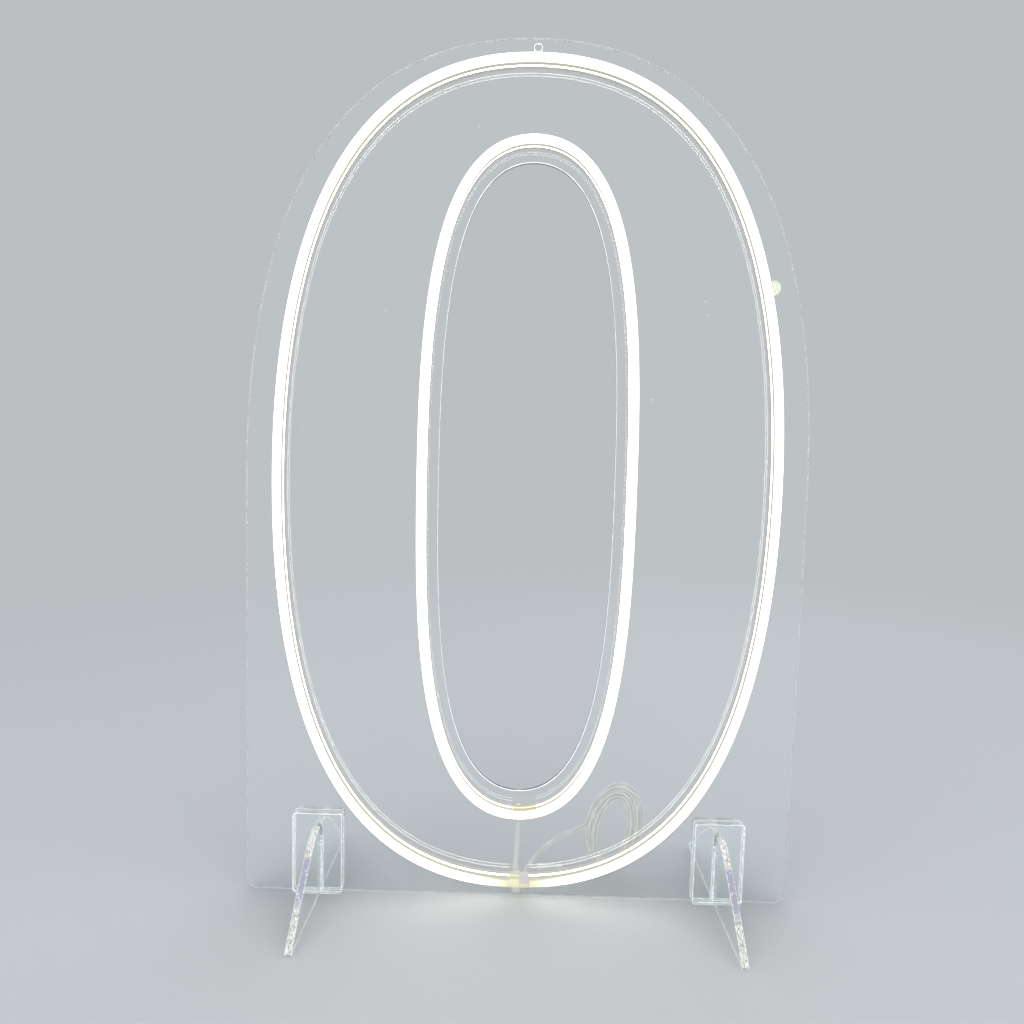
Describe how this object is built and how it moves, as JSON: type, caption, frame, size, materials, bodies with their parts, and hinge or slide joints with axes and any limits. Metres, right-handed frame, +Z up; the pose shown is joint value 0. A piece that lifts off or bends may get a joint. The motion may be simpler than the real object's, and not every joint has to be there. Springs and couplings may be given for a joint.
{
  "type": "neon number light",
  "caption": "Tall figure zero of glowing silicone light flex on a clear arched sheet with an open counter, standing on clear slide-in feet, with a coiled low-voltage lead.",
  "frame": {"origin": "middle of the footprint on the floor, on the upright middle line of the zero and the middle plane of the clear sheet", "axes": "+Z up, the lit face looks towards -Y, +X to the right seen from the front"},
  "size_m": [0.5108, 0.1998, 0.779],
  "materials": {
    "clear_acrylic": "polished clear acrylic with bright cut edges",
    "milky_silicone": "milky translucent silicone, lit from inside",
    "white_silicone": "opaque white silicone",
    "clear_silicone": "translucent silicone",
    "tape_white": "white circuit tape with yellow light chips",
    "clear_lead": "clear cord sheath over pale cores",
    "socket_moulding": "satin moulding",
    "nickel_plate": "nickel plate",
    "bumper_gel": "translucent cream gel"
  },
  "bodies": {
    "sign": {"backboard": "clear_acrylic", "outer_flex_body": "white_silicone", "outer_flex_diffuser": "milky_silicone", "outer_led_tape": "tape_white", "outer_end_cap_left": "clear_silicone", "outer_end_cap_right": "clear_silicone", "inner_flex_body": "white_silicone", "inner_flex_diffuser": "milky_silicone", "inner_led_tape": "tape_white", "inner_end_cap_left": "clear_silicone", "inner_end_cap_right": "clear_silicone", "left_foot_front_pad": "clear_acrylic", "left_foot_rear_pad": "clear_acrylic", "right_foot_front_pad": "clear_acrylic", "right_foot_rear_pad": "clear_acrylic", "link_cable": "clear_lead", "splice_sleeve": "clear_silicone", "power_lead": "clear_lead", "power_lead_coil": "clear_lead", "power_lead_tail": "clear_lead", "dc_socket": "socket_moulding", "dc_socket_shell": "nickel_plate", "dc_socket_pin": "nickel_plate", "back_bumper": "bumper_gel"},
    "left_fin": {"left_foot_fin": "clear_acrylic"},
    "right_fin": {"right_foot_fin": "clear_acrylic"}
  },
  "joints": [
    {"name": "left_fin_slide", "type": "slide", "parent": "sign", "child": "left_fin", "axis": [0, 0, -1], "range_m": [0, 0.066]},
    {"name": "right_fin_slide", "type": "slide", "parent": "sign", "child": "right_fin", "axis": [0, 0, -1], "range_m": [0, 0.066]}
  ]
}
